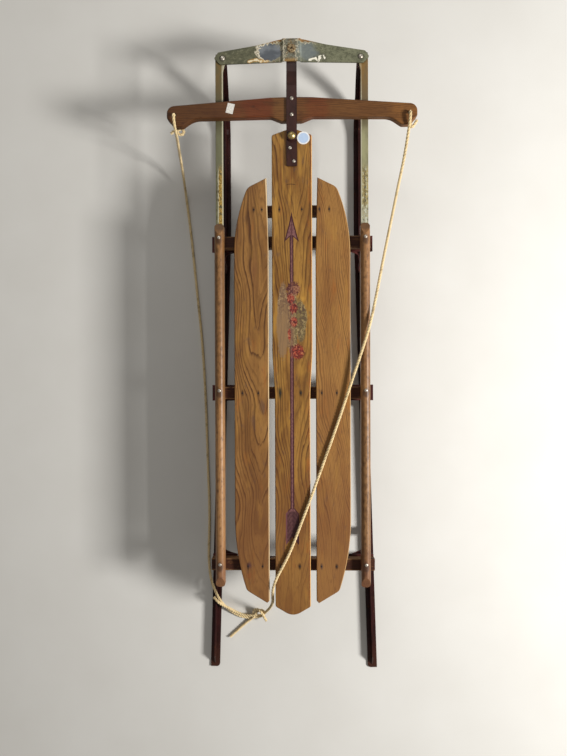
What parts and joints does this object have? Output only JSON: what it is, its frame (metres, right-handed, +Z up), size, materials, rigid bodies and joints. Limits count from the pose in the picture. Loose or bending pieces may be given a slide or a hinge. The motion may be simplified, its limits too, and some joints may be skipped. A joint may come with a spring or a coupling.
{
  "type": "steerable wooden sled",
  "caption": "Long wooden sled with slats and round-topped side rails on splayed steel runners, a pivoting wooden steering bar, a steel bumper and a pull rope.",
  "frame": {"origin": "on the floor, at the middle of the sled's length and width", "axes": "+Z up, +Y towards the front, where the bumper is, +X towards the rider's right"},
  "size_m": [0.528, 1.4201, 0.1907],
  "materials": {
    "golden_varnished_wood": "worn satin varnish",
    "brown_wood": "worn varnish",
    "reddish_wood": "worn varnish",
    "maroon_steel": "old gloss enamel",
    "grey_green_steel": "flaking enamel",
    "rusty_steel": "worn, rust at the edges",
    "brass": "dull",
    "cotton_rope": "matt"
  },
  "bodies": {
    "sled": {"cross_beam_front": "brown_wood", "cross_beam_middle": "brown_wood", "cross_beam_rear": "brown_wood", "front_cleat": "brown_wood", "front_strip_left": "grey_green_steel", "front_strip_right": "grey_green_steel", "knee_front_left": "maroon_steel", "knee_front_right": "maroon_steel", "knee_middle_left": "maroon_steel", "knee_middle_right": "maroon_steel", "knee_rear_left": "maroon_steel", "knee_rear_right": "maroon_steel", "pivot_bolt": "brass", "pivot_plate": "maroon_steel", "rope_knot": "cotton_rope", "rope_left": "cotton_rope", "rope_right": "cotton_rope", "runner_left": "maroon_steel", "runner_right": "maroon_steel", "side_rail_left": "brown_wood", "side_rail_right": "brown_wood", "slat_centre": "golden_varnished_wood", "slat_left": "golden_varnished_wood", "slat_right": "golden_varnished_wood"},
    "steering": {"steering_bar": "reddish_wood", "steering_strap": "maroon_steel", "rope_stopper_left": "cotton_rope", "rope_stopper_right": "cotton_rope"},
    "bumper": {"bumper": "grey_green_steel", "bumper_eyelet": "rusty_steel"}
  },
  "joints": [
    {"name": "steering_pivot", "type": "hinge", "parent": "sled", "child": "steering", "pos_m": [0, 0.499, 0.179], "axis": [0, 0, 1], "range_deg": [-10, 10], "stiffness_Nm_per_rad": 40, "deforming": ["runner_left", "runner_right", "front_strip_left", "front_strip_right", "rope_left", "rope_right"]},
    {"name": "bumper_slide", "type": "slide", "parent": "sled", "child": "bumper", "axis": [1, 0, 0], "range_m": [-0.0335, 0.0335]}
  ],
  "couplings": [
    {"joint": "bumper_slide", "follows": "steering_pivot", "m_per_rad": -0.19}
  ]
}
